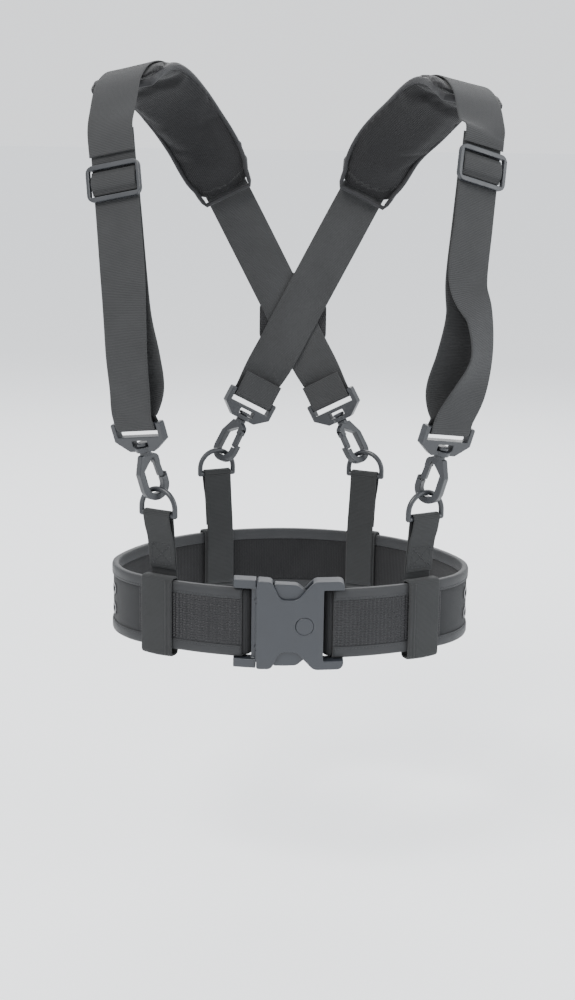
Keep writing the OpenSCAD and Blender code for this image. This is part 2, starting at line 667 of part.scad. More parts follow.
// Cross patch: a stitched plate over the place where the two webbings cross.
module cross_patch() {
    outline = [[0, 46, 6], [30, 14, 6], [30, -14, 6], [0, -46, 6], [-30, -14, 6], [-30, 14, 6]];
    color("#262728") translate([0, cross_y + cross_out + strap_t / 2 + 3.4, cross_z]) rotate([90, 0, 0])
        linear_extrude(height = 1.8) polygon(rounded(outline));
}

// ---------- assembly ----------

buckle_socket();
buckle_tongue();
prong(true);  // prong_upper
prong(false);  // prong_lower
lock_button();
button_spring();
cross_patch();
for (side = SIDES) {
    belt_core(side);
    woven_panel(side);
    lining(side);
    binding(side, true);
    binding(side, false);
    end_fold(side);
    eyelets(side);
    front_strap(side);
    slider(side);
    slider_fold(side);
    shoulder_webbing(side);
    shoulder_pad(side);
}
for (end = ENDS) for (side = SIDES) {
    keeper(end, side);
    riser(end, side);
    ring(end, side);
    swivel_frame(end, side);
    snap_hook(end, side);
    gate(end, side);
}
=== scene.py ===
import math

import bmesh
import bpy
from mathutils import Matrix, Vector, noise


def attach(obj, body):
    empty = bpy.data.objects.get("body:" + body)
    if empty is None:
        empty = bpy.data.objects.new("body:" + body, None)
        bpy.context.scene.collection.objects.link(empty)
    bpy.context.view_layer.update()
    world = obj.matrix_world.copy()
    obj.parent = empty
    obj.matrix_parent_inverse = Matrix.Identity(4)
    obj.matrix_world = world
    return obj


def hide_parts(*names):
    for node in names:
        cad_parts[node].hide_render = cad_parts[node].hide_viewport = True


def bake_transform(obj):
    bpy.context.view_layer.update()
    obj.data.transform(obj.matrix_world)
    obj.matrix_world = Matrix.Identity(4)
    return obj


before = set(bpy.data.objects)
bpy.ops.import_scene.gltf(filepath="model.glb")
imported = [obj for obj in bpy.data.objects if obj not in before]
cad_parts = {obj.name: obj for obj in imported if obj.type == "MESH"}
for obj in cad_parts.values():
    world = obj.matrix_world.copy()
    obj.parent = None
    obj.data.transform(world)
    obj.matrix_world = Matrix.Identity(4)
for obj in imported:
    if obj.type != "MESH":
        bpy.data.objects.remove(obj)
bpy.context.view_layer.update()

# ---------- Studio ----------
# A plain pale floor under soft light from large panels, with the camera at chest height in front of
# the buckle, looking slightly down.
camera_data = bpy.data.cameras.new("camera")
camera_data.lens = 59.8
camera = bpy.data.objects.new("camera", camera_data)
bpy.context.scene.collection.objects.link(camera)
camera.matrix_world = (
    Matrix.Translation((-0.0103, -1.380, 0.384))
    @ Matrix.Rotation(math.radians(-0.30), 4, "Z")
    @ Matrix.Rotation(math.radians(90 - 12.5), 4, "X")
    @ Matrix.Rotation(math.radians(0.83), 4, "Z")
)
bpy.context.scene.camera = camera


def soft_panel(name, place, aim, width, height, watts, colour=(1, 1, 1)):
    data = bpy.data.lights.new(name, "AREA")
    data.shape = "RECTANGLE"
    data.size, data.size_y = width, height
    data.energy = watts
    data.color = colour
    panel = bpy.data.objects.new(name, data)
    bpy.context.scene.collection.objects.link(panel)
    panel.location = place
    panel.rotation_euler = (Vector(aim) - Vector(place)).to_track_quat("-Z", "Y").to_euler()


soft_panel("key_panel", (-0.9, -1.6, 2.1), (0, 0, 0.2), 0.9, 0.9, 70, (1, 0.99, 0.97))
soft_panel("side_panel", (1.9, -0.9, 0.9), (0, 0, 0.2), 0.7, 1.6, 30, (0.95, 0.98, 1))
soft_panel("back_panel", (0.2, 2.0, 1.7), (0, 0, 0.25), 1.6, 1.2, 44)

sky = bpy.data.worlds.new("pale room")
sky.use_nodes = True
sky.node_tree.nodes["Background"].inputs["Color"].default_value = (0.95, 0.97, 1.0, 1)
sky.node_tree.nodes["Background"].inputs["Strength"].default_value = 1.45
bpy.context.scene.world = sky

FLOOR_REACH, FLOOR_Z = 60, -0.26
floor_mesh = bpy.data.meshes.new("floor")
floor_corners = [(x * FLOOR_REACH, y * FLOOR_REACH, FLOOR_Z) for x, y in ((-1, -1), (1, -1), (1, 1), (-1, 1))]
floor_mesh.from_pydata(floor_corners, [], [(0, 1, 2, 3)])
floor = bpy.data.objects.new("floor", floor_mesh)
bpy.context.scene.collection.objects.link(floor)
floor_paint = bpy.data.materials.new("pale floor")
floor_paint.use_nodes = True
floor_paint.node_tree.nodes["Principled BSDF"].inputs["Base Color"].default_value = (0.94, 0.95, 0.96, 1)
floor_paint.node_tree.nodes["Principled BSDF"].inputs["Roughness"].default_value = 0.9
floor_mesh.materials.append(floor_paint)


# ---------- Belt band: core and plain outer face ----------
# A stiffened nylon band cut in two halves that meet at the middle of the back. Its plan is a wide arc
# across the front, a tight turn at each hip and a flatter arc behind.
MM = 0.001
HALF_H = 28.5
CORE_OUT = 1.5
LINING_IN = -2.5
INNER_FACE = -3.4
FRONT_R, OPENING_Y = 213.5, 108.5
HIP_R, HIP_X = 60.0, 88.0
FRONT_END = math.asin(HIP_X / (FRONT_R - HIP_R))
HIP_Y = OPENING_Y - (FRONT_R - HIP_R) * math.cos(FRONT_END)
BACK_END_Y = 105.0
BACK_GAP = HIP_Y - BACK_END_Y
BACK_R = (HIP_R**2 - HIP_X**2 - BACK_GAP**2) / (2 * (BACK_GAP + HIP_R))
BACK_Y = BACK_END_Y - BACK_R
HIP_END = math.atan2(HIP_Y - BACK_Y, HIP_X)
START_RIGHT, START_LEFT = 34.2, 38.7
ROOT, LEFT = "right_side_and_harness", "left_side"


def half_route(start, step):
    """Places along the right half of the band: (x, y, outward x, outward y)."""
    arcs = [
        (0, OPENING_Y, FRONT_R, start / FRONT_R - math.pi / 2, FRONT_END - math.pi / 2),
        (HIP_X, HIP_Y, HIP_R, FRONT_END - math.pi / 2, HIP_END),
        (0, BACK_Y, BACK_R, HIP_END, math.pi / 2),
    ]
    route = []
    for x, y, r, a0, a1 in arcs:
        count = max(2, round(r * (a1 - a0) / step))
        for i in range(0 if not route else 1, count + 1):
            a = a0 + (a1 - a0) * i / count
            route.append((x + r * math.cos(a), y + r * math.sin(a), math.cos(a), math.sin(a)))
    return route


def whole_route(step=3.0):
    right = half_route(START_RIGHT, step)
    left = [(-x, y, -nx, ny) for x, y, nx, ny in half_route(START_LEFT, step)]
    return right + left[-2::-1]


def solid_mesh(name, rings, material, capped=True):
    """A skin over equal rings of points in millimetres, with lengths in metres as its UV map."""
    count = len(rings[0])
    mesh = bpy.data.meshes.new(name)
    faces, corners = [], []
    along, around = [0.0], [0.0]
    for a, b in zip(rings, rings[1:]):
        middle = sum((Vector(q) - Vector(p)).length for p, q in zip(a, b)) / count
        along.append(along[-1] + middle * MM)
    loop = rings[0] + [rings[0][0]]
    for p, q in zip(loop, loop[1:]):
        around.append(around[-1] + (Vector(q) - Vector(p)).length * MM)
    for i in range(len(rings) - 1):
        for k in range(count):
            n = (k + 1) % count
            faces.append((i * count + k, i * count + n, (i + 1) * count + n, (i + 1) * count + k))
            corners += [
                (around[k], along[i]), (around[k + 1], along[i]),
                (around[k + 1], along[i + 1]), (around[k], along[i + 1]),
            ]
    if capped:
        last = (len(rings) - 1) * count
        faces.append(tuple(range(count - 1, -1, -1)))
        corners += [(around[k], 0.0) for k in range(count - 1, -1, -1)]
        faces.append(tuple(last + k for k in range(count)))
        corners += [(around[k], along[-1]) for k in range(count)]
    mesh.from_pydata([Vector(p) * MM for ring in rings for p in ring], [], faces)
    layer = mesh.uv_layers.new(name="UVMap")
    for slot, corner in zip(layer.data, corners):
        slot.uv = corner
    piece = bpy.data.objects.new(name, mesh)
    bpy.context.scene.collection.objects.link(piece)
    mesh.materials.append(material)
    mesh.polygons.foreach_set("use_smooth", [True] * len(mesh.polygons))
    if capped:
        for polygon in list(mesh.polygons)[-2:]:
            polygon.use_smooth = False
    turn_outward(mesh)
    return piece


def turn_outward(mesh):
    work = bmesh.new()
    work.from_mesh(mesh)
    bmesh.ops.recalc_face_normals(work, faces=work.faces)
    work.to_mesh(mesh)
    work.free()


def band_piece(name, route, profile, material):
    """Sweeps a profile of (distance out, height) round the band."""
    rings = [[(x + nx * d, y + ny * d, z) for d, z in profile] for x, y, nx, ny in route]
    return solid_mesh(name, rings, material)


def calculate(tree, operation, *terms):
    made = tree.nodes.new("ShaderNodeMath")
    made.operation = operation
    for place, term in zip(made.inputs, terms):
        if isinstance(term, (int, float)):
            place.default_value = term
        else:
            tree.links.new(term, place)
    return made.outputs[0]


def new_group(name, inputs, outputs):
    group = bpy.data.node_groups.new(name, "ShaderNodeTree")
    for label, kind, value in inputs:
        made = group.interface.new_socket(name=label, in_out="INPUT", socket_type=kind)
        if value is not None:
            made.default_value = value
    for label, kind in outputs:
        group.interface.new_socket(name=label, in_out="OUTPUT", socket_type=kind)
    source = group.nodes.new("NodeGroupInput")
    target = group.nodes.new("NodeGroupOutput")
    return group, source, target


# Woven cloth: yarn crowns staggered row by row, with a slow unevenness of dye and dust. The colour also
# carries painted shade: darker in the gaps between the crowns, lighter on them.
weave, given, result = new_group(
    "woven yarns",
    [("Place", "NodeSocketVector", None), ("Row pitch", "NodeSocketFloat", 0.0012),
     ("Yarn pitch", "NodeSocketFloat", 0.0009), ("Crown", "NodeSocketFloat", 0.4),
     ("Unevenness", "NodeSocketFloat", 0.35)],
    [("Height", "NodeSocketFloat"), ("Painted shade and dust", "NodeSocketFloat")],
)
split = weave.nodes.new("ShaderNodeSeparateXYZ")
weave.links.new(given.outputs["Place"], split.inputs[0])
row = calculate(weave, "DIVIDE", split.outputs["Y"], given.outputs["Row pitch"])
yarn = calculate(weave, "DIVIDE", split.outputs["X"], given.outputs["Yarn pitch"])
stagger = calculate(weave, "MULTIPLY", calculate(weave, "FLOOR", row), 0.5)
crown = calculate(weave, "ABSOLUTE", calculate(weave, "SINE", calculate(
    weave, "MULTIPLY", calculate(weave, "ADD", yarn, stagger), math.pi)))
ridge = calculate(weave, "ABSOLUTE", calculate(weave, "SINE", calculate(weave, "MULTIPLY", row, math.pi)))
low_crown = calculate(weave, "SUBTRACT", 1.0, given.outputs["Crown"])
rise = calculate(weave, "MULTIPLY_ADD", crown, given.outputs["Crown"], low_crown)
height = calculate(weave, "MULTIPLY", ridge, rise)
weave.links.new(height, result.inputs["Height"])
cloud = weave.nodes.new("ShaderNodeTexNoise")
cloud.inputs["Scale"].default_value = 38
cloud.inputs["Detail"].default_value = 5
weave.links.new(given.outputs["Place"], cloud.inputs["Vector"])
dust = calculate(weave, "MULTIPLY", calculate(weave, "SUBTRACT", cloud.outputs["Fac"], 0.5),
                 given.outputs["Unevenness"])
# Colour factor: painted shade from the yarn height (darker gaps, lighter crowns) plus the dye and dust
# unevenness.
weave.links.new(calculate(weave, "ADD", calculate(weave, "MULTIPLY_ADD", height, 0.6, 0.2), dust),
                result.inputs["Painted shade and dust"])


def cloth(name, dark, light, rows, yarns, depth, roughness=0.85, sheen=0.06, crown_share=0.4, uneven=0.35):
    """A matt woven cloth: its colour is painted shade, dark in the gaps and light on the crowns, and its
    yarns are raised.
    """
    made = bpy.data.materials.new(name)
    made.use_nodes = True
    tree = made.node_tree
    skin = tree.nodes["Principled BSDF"]
    place = tree.nodes.new("ShaderNodeUVMap")
    place.uv_map = "UVMap"
    yarns_node = tree.nodes.new("ShaderNodeGroup")
    yarns_node.node_tree = weave
    tree.links.new(place.outputs["UV"], yarns_node.inputs["Place"])
    yarns_node.inputs["Row pitch"].default_value = rows
    yarns_node.inputs["Yarn pitch"].default_value = yarns
    yarns_node.inputs["Crown"].default_value = crown_share
    yarns_node.inputs["Unevenness"].default_value = uneven
    # dark is the painted shade colour in the gaps between yarns, light the colour on the crowns.
    tint = tree.nodes.new("ShaderNodeMix")
    tint.data_type = "RGBA"
    tint.inputs["A"].default_value = (*dark, 1)
    tint.inputs["B"].default_value = (*light, 1)
    tree.links.new(yarns_node.outputs["Painted shade and dust"], tint.inputs["Factor"])
    tree.links.new(tint.outputs["Result"], skin.inputs["Base Color"])
    bump = tree.nodes.new("ShaderNodeBump")
    bump.inputs["Strength"].default_value = 0.8
    bump.inputs["Distance"].default_value = depth
    tree.links.new(yarns_node.outputs["Height"], bump.inputs["Height"])
    tree.links.new(bump.outputs["Normal"], skin.inputs["Normal"])
    skin.inputs["Roughness"].default_value = roughness
    skin.inputs["Specular IOR Level"].default_value = 0.22
    skin.inputs["Sheen Weight"].default_value = sheen
    skin.inputs["Sheen Roughness"].default_value = 0.5
    return made


band_cloth = cloth("band nylon", (0.007, 0.0075, 0.008), (0.026, 0.0265, 0.028), 0.0011, 0.0011, 0.00025)
band_route = whole_route()
band_core = band_piece(
    "band_core", band_route,
    [(CORE_OUT, -27.5), (CORE_OUT, -14), (CORE_OUT, 0), (CORE_OUT, 14), (CORE_OUT, 27.5),
     (-CORE_OUT, 27.5), (-CORE_OUT, 0), (-CORE_OUT, -27.5)],
    band_cloth,
)
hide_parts("belt_core_left", "belt_core_right")
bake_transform(band_core)

# ---------- Lining ----------
# Loop-faced knit glued and bound to the inside of the band, for a hook-faced trouser belt under it.
lining_cloth = cloth("loop lining", (0.005, 0.005, 0.0055), (0.016, 0.016, 0.017), 0.0016, 0.0013, 0.0004,
                     roughness=0.95, sheen=0.12, crown_share=0.9, uneven=0.5)
lining = band_piece(
    "band_lining", band_route,
    [(-1.55, -27.5), (-1.55, 27.5), (LINING_IN, 27.5), (LINING_IN, 14), (LINING_IN, 0),
     (LINING_IN, -14), (LINING_IN, -27.5)],
    lining_cloth,
)
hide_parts("lining_left", "lining_right")
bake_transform(lining)

# ---------- Woven front panels ----------
# Coarse basket-weave nylon sewn over the front of the band on both sides of the buckle. Thick yarns
# pass over and under in columns, so the face is a field of small raised crowns.
COLUMN, ROW = 3.3, 2.1
panel_cloth = cloth("basket weave", (0.004, 0.004, 0.0045), (0.024, 0.024, 0.026), 0.0004, 0.0021, 0.0001,
                    roughness=0.36, sheen=0.03, crown_share=0.3, uneven=0.3)


def panel_height(s, z):
    column = s / COLUMN
    lean = 0.35 * (1 if math.floor(column) % 2 else -1)
    row = z / ROW + 0.5 * math.floor(column) + lean * (column - math.floor(column))
    over = math.sin(math.pi * (row - math.floor(row))) ** 0.8
    round_yarn = math.sin(math.pi * (column - math.floor(column))) ** 0.7
    return 0.95 * over * round_yarn


def woven_panel(side, start):
    sign = 1 if side == "right" else -1
    half = HALF_H - 9.3
    length = FRONT_END * FRONT_R - start
    columns, rows = round(length / 0.42), 104
    vertices, faces, places = [], [], []
    for i in range(columns + 1):
        s = start + length * i / columns
        a = s / FRONT_R
        for k in range(rows + 1):
            z = -half + 2 * half * k / rows
            edge = min(1, i / 3, (columns - i) / 3, k / 3, (rows - k) / 3)
            r = FRONT_R + CORE_OUT + 0.35 + panel_height(s, z) * edge
            vertices.append((sign * r * math.sin(a) * MM, (OPENING_Y - r * math.cos(a)) * MM, z * MM))
            places.append((s * MM, z * MM))
    for i in range(columns):
        for k in range(rows):
            p = i * (rows + 1) + k
            faces.append((p, p + 1, p + rows + 2, p + rows + 1))
    mesh = bpy.data.meshes.new(f"woven_front_{side}")
    mesh.from_pydata(vertices, [], faces)
    layer = mesh.uv_layers.new(name="UVMap")
    for loop in mesh.loops:
        layer.data[loop.index].uv = places[loop.vertex_index]
    mesh.materials.append(panel_cloth)
    mesh.polygons.foreach_set("use_smooth", [True] * len(mesh.polygons))
    if sign > 0:
        mesh.flip_normals()
    piece = bpy.data.objects.new(f"woven_front_{side}", mesh)
    bpy.context.scene.collection.objects.link(piece)
    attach(piece, ROOT if side == "right" else LEFT)
    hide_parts(f"woven_panel_{side}")


woven_panel("right", START_RIGHT)
woven_panel("left", START_LEFT)

# ---------- Edge binding ----------
# Smooth tape folded over both long edges of the band and sewn through with one line of thread.
binding_cloth = cloth("edge tape", (0.013, 0.0135, 0.0145), (0.030, 0.031, 0.033), 0.0006, 0.0006, 0.0001,
                      roughness=0.55, sheen=0.08, crown_share=0.5, uneven=0.6)
thread = cloth("bonded thread", (0.010, 0.010, 0.011), (0.042, 0.043, 0.046), 0.0004, 0.0004, 0.0001,
               roughness=0.45)


# One dash of thread: place along its pitch, share of its radius, and rise over the cloth.
DASH = [(-0.40, 0.35, -0.25), (-0.28, 0.85, 0.0), (0, 1, 0.12), (0.28, 0.85, 0.0), (0.40, 0.35, -0.25)]


def stitches(name, path, pitch, radius, lift=0.12):
    """A row of thread dashes along a path of (point, normal), each sunk a little into the cloth."""
    lengths = [0.0]
    for (p, _), (q, _) in zip(path, path[1:]):
        lengths.append(lengths[-1] + (Vector(q) - Vector(p)).length)
    count = max(1, int(lengths[-1] / pitch))
    vertices, faces, places = [], [], []
    span = 0
    for i in range(count):
        at = (i + 0.5) * lengths[-1] / count
        while span < len(lengths) - 2 and lengths[span + 1] < at:
            span += 1
        share = (at - lengths[span]) / max(1e-6, lengths[span + 1] - lengths[span])
        p, q = Vector(path[span][0]), Vector(path[span + 1][0])
        ahead = (q - p).normalized()
        out = Vector(path[span][1]).lerp(Vector(path[span + 1][1]), share).normalized()
        side = out.cross(ahead).normalized()
        centre = p.lerp(q, share)
        base = len(vertices)
        for f, swell, up in DASH:
            for k in range(6):
                a = math.tau * k / 6
                v = centre + ahead * f * pitch + out * (lift + up + radius * 0.7 * swell * math.sin(a)) \
                    + side * radius * swell * math.cos(a)
                vertices.append(v * MM)
                places.append((k / 6 * 0.002, (at + f * pitch) * MM))
        for ring in range(len(DASH) - 1):
            for k in range(6):
                a, b = base + ring * 6 + k, base + ring * 6 + (k + 1) % 6
                faces.append((a, b, b + 6, a + 6))
        faces.append(tuple(base + k for k in range(5, -1, -1)))
        faces.append(tuple(base + 24 + k for k in range(6)))
    mesh = bpy.data.meshes.new(name)
    mesh.from_pydata(vertices, [], faces)
    layer = mesh.uv_layers.new(name="UVMap")
    for loop in mesh.loops:
        layer.data[loop.index].uv = places[loop.vertex_index]
    mesh.materials.append(thread)
    mesh.polygons.foreach_set("use_smooth", [True] * len(mesh.polygons))
    turn_outward(mesh)
    piece = bpy.data.objects.new(name, mesh)
    bpy.context.scene.collection.objects.link(piece)
    return piece


def tape_profile(sign):
    outer, inner, foot = CORE_OUT + 1.15, INNER_FACE, 19.3
    points = [(CORE_OUT - 0.1, foot + 0.3), (CORE_OUT + 0.45, foot), (outer - 0.25, foot + 0.35),
              (outer - 0.45, foot + 1.7), (outer, foot + 3.2), (outer, HALF_H - 2.2),
              (outer - 0.5, HALF_H - 0.7),
              (outer - 1.6, HALF_H), (inner + 1.4, HALF_H), (inner + 0.4, HALF_H - 0.6), (inner, HALF_H - 2),
              (inner, foot + 1), (inner + 0.5, foot), (LINING_IN + 0.1, foot + 0.2),
              (LINING_IN + 0.1, HALF_H - 1), (CORE_OUT - 0.1, HALF_H - 1)]
    return [(d, sign * z) for d, z in points]


for edge, sign in (("top", 1), ("bottom", -1)):
    rings = []
    for i, (x, y, nx, ny) in enumerate(band_route):
        pucker = 0.12 * noise.noise(Vector((x * 0.16, y * 0.16, sign * 7)))
        rings.append([(x + nx * (d + (pucker if d > 0 else 0)), y + ny * (d + (pucker if d > 0 else 0)), z)
                      for d, z in tape_profile(sign)])
    tape = solid_mesh(f"binding_{edge}", rings, binding_cloth)
    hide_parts(f"binding_{edge}_left", f"binding_{edge}_right")
    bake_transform(tape)
    seam = stitches(f"binding_seam_{edge}",
                    [((x + nx * (CORE_OUT + 0.72), y + ny * (CORE_OUT + 0.72), sign * 21.0), (nx, ny, 0))
                     for x, y, nx, ny in whole_route(2.0)], 2.9, 0.3)
    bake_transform(seam)


# ---------- Band ends round the buckle's bars ----------
# Each end of the band narrows to its face cloth, turns round the buckle's bar and lies back against the
# lining, held by its own hook-and-loop face.
def ribbon(name, route, width, thickness, material):
    """Webbing along a route of (point, normal): a flat strip with round, slightly thicker selvedges."""
    w, t = width / 2, thickness / 2
    face = [-1, -0.965, -0.9, -0.6, -0.3, 0, 0.3, 0.6, 0.9, 0.965, 1]
    swell = [0.35, 0.9, 1.0, 0.94, 0.92, 0.92, 0.92, 0.94, 1.0, 0.9, 0.35]
    profile = [(w * a, t * s) for a, s in zip(face, swell)]
    profile += [(w * a, -t * s) for a, s in zip(face[::-1], swell)]
    rings, last = [], len(route) - 1
    for i, (p, normal) in enumerate(route):
        ahead = (Vector(route[min(i + 1, last)][0]) - Vector(route[max(i - 1, 0)][0])).normalized()
        side = Vector(normal).cross(ahead).normalized()
        out = ahead.cross(side)
        rings.append([Vector(p) + side * a + out * b for a, b in profile])
    return solid_mesh(name, rings, material)


def smooth_route(route, n):
    """More stations between a route's own, on the same curve that the frame's webbing follows."""
    made, last = [], len(route) - 1
    for i in range(last):
        for k in range(n):
            f = k / n
            mixed = []
            for part in (0, 1):
                a, b, c, d = (Vector(route[j][part]) for j in (max(i - 1, 0), i, i + 1, min(i + 2, last)))
                mixed.append((2 * b + (c - a) * f + (2 * a - 5 * b + 4 * c - d) * f**2
                              + (3 * b - a - 3 * c + d) * f**3) / 2)
            made.append((mixed[0], mixed[1].normalized()))
    made.append((Vector(route[-1][0]), Vector(route[-1][1]).normalized()))
    return made


def turned_end(side, bar):
    sign = 1 if side == "right" else -1
    turn = [(bar - 0.5 + 5 * math.cos(math.radians(a)), -6 + 5 * math.sin(math.radians(a)))
            for a in range(90, 271, 18)]
    path = turn + [(bar + 7, -11), (bar + 18, -9), (bar + 30, -6.4), (bar + 42, -5.9), (bar + 54, -5.9)]
    route = []
    for i, (s, out) in enumerate(path):
        before, after = path[max(i - 1, 0)], path[min(i + 1, len(path) - 1)]
        ds, do = after[0] - before[0], after[1] - before[1]
        size = math.hypot(ds, do)
        ns, no = do / size, -ds / size
        a, r = s / FRONT_R, FRONT_R + out
        point = (sign * r * math.sin(a), OPENING_Y - r * math.cos(a), 0)
        normal = (sign * (ns * math.cos(a) + no * math.sin(a)), ns * math.sin(a) - no * math.cos(a), 0)
        route.append((point, normal))
    piece = ribbon(f"turned_end_{side}", smooth_route(route, 3), 54.5, 3.2, band_cloth)
    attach(piece, ROOT if side == "right" else LEFT)
    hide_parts(f"end_fold_{side}")


turned_end("right", 34.5)
turned_end("left", 39.0)

# ---------- Buckle ----------
# Glass-filled acetal mouldings in blue-black with softly rounded edges: the buckle's socket, tongue, prongs
# and lock button. The harness hardware is moulded the same way.
grain, given, result = new_group(
    "moulded grain",
    [("Place", "NodeSocketVector", None), ("Wear", "NodeSocketFloat", 0.4)],
    [("Roughness", "NodeSocketFloat"), ("Height", "NodeSocketFloat"), ("Scuffs", "NodeSocketFloat")],
)
fine = grain.nodes.new("ShaderNodeTexNoise")
fine.inputs["Scale"].default_value = 2600
fine.inputs["Detail"].default_value = 2
grain.links.new(given.outputs["Place"], fine.inputs["Vector"])
flow = grain.nodes.new("ShaderNodeTexNoise")
flow.inputs["Scale"].default_value = 55
flow.inputs["Detail"].default_value = 6
grain.links.new(given.outputs["Place"], flow.inputs["Vector"])
scuffs = calculate(grain, "MULTIPLY", calculate(grain, "SUBTRACT", flow.outputs["Fac"], 0.42),
                   given.outputs["Wear"])
grain.links.new(calculate(grain, "ADD", scuffs, 0.36), result.inputs["Roughness"])
grain.links.new(fine.outputs["Fac"], result.inputs["Height"])
grain.links.new(calculate(grain, "MULTIPLY_ADD", scuffs, 2.0, 0.5), result.inputs["Scuffs"])


def moulding(name, dark, light, wear):
    made = bpy.data.materials.new(name)
    made.use_nodes = True
    tree = made.node_tree
    skin = tree.nodes["Principled BSDF"]
    place = tree.nodes.new("ShaderNodeTexCoord")
    made_grain = tree.nodes.new("ShaderNodeGroup")
    made_grain.node_tree = grain
    made_grain.inputs["Wear"].default_value = wear
    tree.links.new(place.outputs["Object"], made_grain.inputs["Place"])
    tint = tree.nodes.new("ShaderNodeMix")
    tint.data_type = "RGBA"
    tint.inputs["A"].default_value = (*dark, 1)
    tint.inputs["B"].default_value = (*light, 1)
    tree.links.new(made_grain.outputs["Scuffs"], tint.inputs["Factor"])
    tree.links.new(tint.outputs["Result"], skin.inputs["Base Color"])
    tree.links.new(made_grain.outputs["Roughness"], skin.inputs["Roughness"])
    bump = tree.nodes.new("ShaderNodeBump")
    bump.inputs["Strength"].default_value = 0.25
    bump.inputs["Distance"].default_value = 0.00004
    tree.links.new(made_grain.outputs["Height"], bump.inputs["Height"])
    tree.links.new(bump.outputs["Normal"], skin.inputs["Normal"])
    skin.inputs["Specular IOR Level"].default_value = 0.5
    return made


buckle_plastic = moulding("buckle acetal", (0.010, 0.0115, 0.0145), (0.022, 0.025, 0.031), 0.35)
hardware_plastic = moulding("hardware acetal", (0.008, 0.009, 0.011), (0.020, 0.022, 0.026), 0.45)


def moulded(node, name, material, body, voxel, rounds, keep):
    """Rounds a frame part's edges over: the same solid, re-skinned in an even mesh and relaxed."""
    shape = bpy.data.objects.new(name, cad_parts[node].data.copy())
    bpy.context.scene.collection.objects.link(shape)
    shape.data.materials.clear()
    skin = shape.modifiers.new("skin", "REMESH")
    skin.mode = "VOXEL"
    skin.voxel_size = voxel * MM
    relax = shape.modifiers.new("relax", "SMOOTH")
    relax.factor = 0.5
    relax.iterations = rounds
    lean = shape.modifiers.new("lean", "DECIMATE")
    lean.ratio = keep
    shaped = bpy.data.meshes.new_from_object(shape.evaluated_get(bpy.context.evaluated_depsgraph_get()))
    shape.modifiers.clear()
    shape.data = shaped
    shaped.materials.clear()
    shaped.materials.append(material)
    shaped.polygons.foreach_set("use_smooth", [True] * len(shaped.polygons))
    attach(shape, body)
    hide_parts(node)
    return shape


BUCKLE_SKIN = 0.42
moulded("buckle_socket", "socket_shell", buckle_plastic, ROOT, BUCKLE_SKIN, 7, 0.5)
moulded("buckle_tongue", "tongue_moulding", buckle_plastic, LEFT, BUCKLE_SKIN, 5, 0.5)
for which in ("upper", "lower"):
    moulded(f"prong_{which}", f"thumb_prong_{which}", buckle_plastic, f"prong_{which}",
            BUCKLE_SKIN, 7, 0.5)
moulded("lock_button", "round_button", buckle_plastic, "lock_button", 0.4, 3, 0.6)

# ---------- Button spring and eyelets ----------
# A conical coil of drawn wire stands behind the button, and rolled brass eyelets are set in pairs at the
# hips. Both keep the frame's own shapes.
wire = bpy.data.materials.new("drawn wire")
wire.use_nodes = True
wire_skin = wire.node_tree.nodes["Principled BSDF"]
wire_skin.inputs["Metallic"].default_value = 1
wire_skin.inputs["Base Color"].default_value = (0.55, 0.55, 0.57, 1)
drawn = wire.node_tree.nodes.new("ShaderNodeTexNoise")
drawn.inputs["Scale"].default_value = 900
wire.node_tree.links.new(calculate(wire.node_tree, "MULTIPLY_ADD", drawn.outputs["Fac"], 0.3, 0.15),
                         wire_skin.inputs["Roughness"])
blackened = bpy.data.materials.new("blackened brass")
blackened.use_nodes = True
black_skin = blackened.node_tree.nodes["Principled BSDF"]
black_skin.inputs["Metallic"].default_value = 0.85
worn = blackened.node_tree.nodes.new("ShaderNodeTexNoise")
worn.inputs["Scale"].default_value = 420
worn.inputs["Detail"].default_value = 4
finish = blackened.node_tree.nodes.new("ShaderNodeMix")
finish.data_type = "RGBA"
finish.inputs["A"].default_value = (0.05, 0.05, 0.055, 1)
finish.inputs["B"].default_value = (0.10, 0.10, 0.10, 1)
blackened.node_tree.links.new(
    calculate(blackened.node_tree, "POWER", worn.outputs["Fac"], 2.2), finish.inputs["Factor"])
blackened.node_tree.links.new(finish.outputs["Result"], black_skin.inputs["Base Color"])
black_skin.inputs["Roughness"].default_value = 0.36
for node, paint in (("button_spring", wire), ("eyelets_left", blackened), ("eyelets_right", blackened)):
    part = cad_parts[node]
    part.data.materials.clear()
    part.data.materials.append(paint)

# ---------- Keepers ----------
# Four loops of webbing sewn round the band. A folded seam stands up along the buckle-side edge of each, and
# the loop hangs a little below the band.
belt_webbing = cloth("belt webbing", (0.010, 0.0105, 0.0105), (0.032, 0.033, 0.034), 0.0010, 0.0010, 0.00022)
STATIONS = {
    "front": dict(r=FRONT_R, centre=OPENING_Y, angle=30, lean=(14.5, -8.5)),
    "rear": dict(r=BACK_R, centre=-BACK_Y, angle=25.75, lean=(-6.4, 27.5)),
}
SIDES = {"left": LEFT, "right": ROOT}
KEEPER_W = 29.0


def mirrored(p, end, side):
    return Vector((-p[0] if side == "right" else p[0], -p[1] if end == "rear" else p[1], p[2]))


def station_point(end, side, along, inward, z):
    """A point by a keeper: along the band away from the buckle, in towards the waist, and up."""
    s = STATIONS[end]
    a = math.radians(s["angle"]) + along / s["r"]
    r = s["r"] - inward
    return mirrored((-r * math.sin(a), s["centre"] - r * math.cos(a), z), end, side)


def station_normal(end, side, along, inward, z):
    s = STATIONS[end]
    a = math.radians(s["angle"]) + along / s["r"]
    return mirrored((inward * math.sin(a), inward * math.cos(a), z), end, side).normalized()


